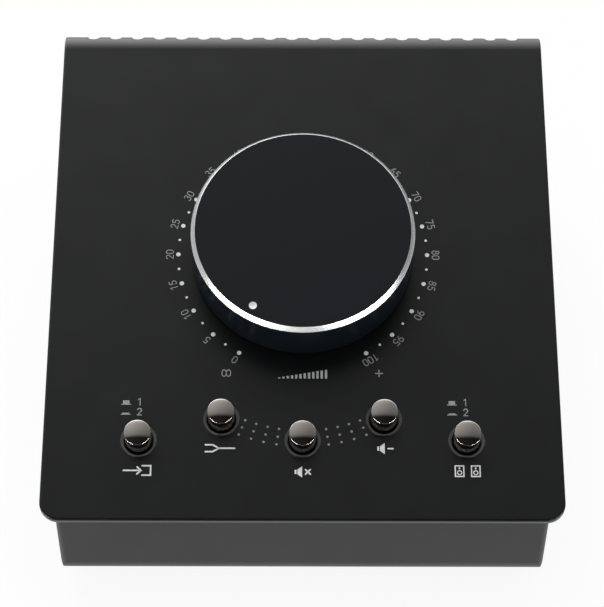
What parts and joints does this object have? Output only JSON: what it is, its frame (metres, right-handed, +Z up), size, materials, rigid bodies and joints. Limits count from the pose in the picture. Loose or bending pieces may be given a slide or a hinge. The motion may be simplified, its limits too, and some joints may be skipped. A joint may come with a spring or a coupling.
{
  "type": "studio monitor controller",
  "caption": "Desktop studio monitor controller: sloped folded case with a large volume knob, round push buttons, vents over the rear bend and plug sockets behind.",
  "frame": {"origin": "on the resting plane, under the middle of the whole box", "axes": "+X to the right of the person using it, +Y to the rear, +Z up"},
  "size_m": [0.135, 0.1471, 0.0748],
  "materials": {
    "cover_paint": "matte fine-grain powder paint, near black",
    "tray_paint": "satin powder paint, dark grey",
    "foot_rubber": "matte moulded rubber",
    "zinc_steel": "zinc-plated sheet",
    "black_screws": "black oxide",
    "knob_aluminium": "turned and black anodised, with a bright cut chamfer",
    "core_plastic": "moulded",
    "spring_steel": "spring strip",
    "pointer_fill": "paint filled into a small dimple",
    "gang_plastic": "moulded gang housings",
    "brass": "turned",
    "bright_steel": "nickel plated",
    "board_laminate": "glass-fibre laminate with green solder mask",
    "switch_plastic": "moulded",
    "plunger_plastic": "moulded, off-white",
    "cap_chrome": "polished and plated",
    "jack_plastic": "moulded, black",
    "header_plastic": "moulded, black",
    "socket_plastic": "moulded, grey",
    "ribbon_plastic": "flat flexible ribbon, grey"
  },
  "bodies": {
    "case": {"top_cover": "cover_paint", "chassis_tray": "tray_paint", "rear_panel": "tray_paint", "rubber_feet": "foot_rubber", "left_rail": "zinc_steel", "right_rail": "zinc_steel", "side_screws": "black_screws", "rear_screws": "black_screws", "pot_body": "gang_plastic", "pot_bushing": "brass", "pot_washer": "bright_steel", "pot_nut": "bright_steel", "control_board": "board_laminate", "board_pillars": "bright_steel", "board_screws": "bright_steel", "source_switch": "switch_plastic", "mono_switch": "switch_plastic", "mute_switch": "switch_plastic", "dim_switch": "switch_plastic", "monitor_switch": "switch_plastic", "jack_board": "board_laminate", "source_1_left_jack": "jack_plastic", "source_1_right_jack": "jack_plastic", "source_2_left_jack": "jack_plastic", "source_2_right_jack": "jack_plastic", "monitor_1_left_jack": "jack_plastic", "monitor_1_right_jack": "jack_plastic", "monitor_2_left_jack": "jack_plastic", "monitor_2_right_jack": "jack_plastic", "jack_nuts": "bright_steel", "jack_washers": "bright_steel", "control_header": "header_plastic", "jack_header": "header_plastic", "control_socket": "socket_plastic", "jack_socket": "socket_plastic", "ribbon_cable": "ribbon_plastic"},
    "knob": {"knob_shell": "knob_aluminium", "knob_core": "core_plastic", "knob_clip": "spring_steel", "pointer_dot": "pointer_fill", "pot_shaft": "bright_steel"},
    "source_button": {"source_cap": "cap_chrome", "source_plunger": "plunger_plastic"},
    "mono_button": {"mono_cap": "cap_chrome", "mono_plunger": "plunger_plastic"},
    "mute_button": {"mute_cap": "cap_chrome", "mute_plunger": "plunger_plastic"},
    "dim_button": {"dim_cap": "cap_chrome", "dim_plunger": "plunger_plastic"},
    "monitor_button": {"monitor_cap": "cap_chrome", "monitor_plunger": "plunger_plastic"}
  },
  "joints": [
    {"name": "knob_turn", "type": "hinge", "parent": "case", "child": "knob", "pos_m": [0, 0.00018, 0.05289], "axis": [0, 0.2419, -0.9703], "range_deg": [0, 300]},
    {"name": "source_push", "type": "slide", "parent": "case", "child": "source_button", "axis": [0, 0.2419, -0.9703], "range_m": [0, 0.0024], "stiffness_N_per_m": 250, "springref_m": -0.001},
    {"name": "mono_push", "type": "slide", "parent": "case", "child": "mono_button", "axis": [0, 0.2419, -0.9703], "range_m": [0, 0.0024], "stiffness_N_per_m": 250, "springref_m": -0.001},
    {"name": "mute_push", "type": "slide", "parent": "case", "child": "mute_button", "axis": [0, 0.2419, -0.9703], "range_m": [0, 0.0024], "stiffness_N_per_m": 250, "springref_m": -0.001},
    {"name": "dim_push", "type": "slide", "parent": "case", "child": "dim_button", "axis": [0, 0.2419, -0.9703], "range_m": [0, 0.0024], "stiffness_N_per_m": 250, "springref_m": -0.001},
    {"name": "monitor_push", "type": "slide", "parent": "case", "child": "monitor_button", "axis": [0, 0.2419, -0.9703], "range_m": [0, 0.0024], "stiffness_N_per_m": 250, "springref_m": -0.001}
  ]
}
